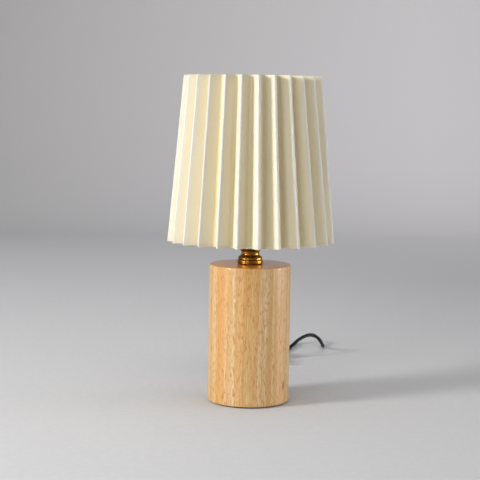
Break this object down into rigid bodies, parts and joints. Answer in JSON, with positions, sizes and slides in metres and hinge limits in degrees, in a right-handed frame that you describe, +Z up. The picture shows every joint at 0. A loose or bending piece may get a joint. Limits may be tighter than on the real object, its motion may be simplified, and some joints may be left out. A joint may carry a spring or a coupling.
{
  "type": "table lamp",
  "caption": "Table lamp with a turned wooden base, an aged brass neck and a pleated cloth shade on a wire frame; black mains cord with inline switch and flat plug",
  "frame": {"origin": "centre of the base pad's underside, on the surface that the lamp stands on", "axes": "+Z up along the lamp's axis, -Y towards the picture's viewer, the cord leaves towards +Y"},
  "size_m": [0.1927, 0.4434, 0.3504],
  "materials": {
    "felt": "dense black-brown felt",
    "wood": "pale honey wood with upright grain under a satin lacquer",
    "steel": "zinc plated",
    "aged_brass": "aged brass, gold-brown with a dark patina",
    "brass": "satin brass",
    "contact_brass": "bright brass",
    "porcelain": "white glazed porcelain",
    "cloth": "ivory slub cloth, stiffened and pleated",
    "white_wire": "white enamel on steel wire",
    "frosted_glass": "frosted white glass",
    "cap_metal": "bright aluminium",
    "black_glass": "dark opaque glass",
    "cord_black": "matt black cord sheath",
    "black_plastic": "matt black plastic",
    "rocker_plastic": "glossy black plastic",
    "brown_wire": "brown insulation",
    "blue_wire": "blue insulation",
    "pin_metal": "nickel plated"
  },
  "bodies": {
    "lamp": {"base_pad": "felt", "wood_base": "wood", "threaded_tube": "steel", "bottom_washer": "steel", "bottom_nut": "steel", "brass_neck": "aged_brass", "holder_cap": "brass", "porcelain_core": "porcelain", "screw_shell": "contact_brass", "centre_contact": "contact_brass", "terminal_screws": "contact_brass", "holder_sleeve": "brass", "shade_ring_nut": "brass", "strain_relief": "black_plastic", "inner_cord": "cord_black", "live_wire": "brown_wire", "neutral_wire": "blue_wire", "cord_to_switch": "cord_black", "switch_lower_shell": "black_plastic", "switch_upper_shell": "black_plastic", "switch_contacts": "contact_brass", "switch_screws": "steel", "cord_from_switch": "cord_black", "cord_coil": "cord_black", "coil_tie": "cord_black", "cord_to_plug": "cord_black", "plug_body": "black_plastic", "plug_pins": "pin_metal"},
    "shade": {"shade_cloth": "cloth", "top_ring": "white_wire", "bottom_ring": "white_wire", "shade_fitter": "white_wire", "fitter_arm_1": "white_wire", "fitter_arm_2": "white_wire", "fitter_arm_3": "white_wire", "shade_strut_1": "white_wire", "shade_strut_2": "white_wire", "shade_strut_3": "white_wire", "shade_strut_4": "white_wire", "shade_strut_5": "white_wire"},
    "bulb_foot": {"bulb_insulator": "black_glass", "bulb_contact": "cap_metal"},
    "bulb": {"bulb_globe": "frosted_glass", "bulb_cap": "cap_metal"},
    "rocker": {"switch_rocker": "rocker_plastic"}
  },
  "joints": [
    {"name": "shade_turn", "type": "hinge", "parent": "lamp", "child": "shade", "pos_m": [0, 0, 0.2], "axis": [0, 0, 1], "continuous": true},
    {"name": "bulb_lift", "type": "slide", "parent": "lamp", "child": "bulb_foot", "axis": [0, 0, 1], "range_m": [0, 0.0146]},
    {"name": "bulb_turn", "type": "hinge", "parent": "bulb_foot", "child": "bulb", "pos_m": [0, 0, 0.2], "axis": [0, 0, 1], "range_deg": [0, 1440]},
    {"name": "rocker_tilt", "type": "hinge", "parent": "lamp", "child": "rocker", "pos_m": [0.009, 0.24, 0.0138], "axis": [0, -1, 0], "range_deg": [0, 18]}
  ],
  "couplings": [
    {"joint": "bulb_lift", "follows": "bulb_turn", "m_per_rad": 0.00057757}
  ]
}
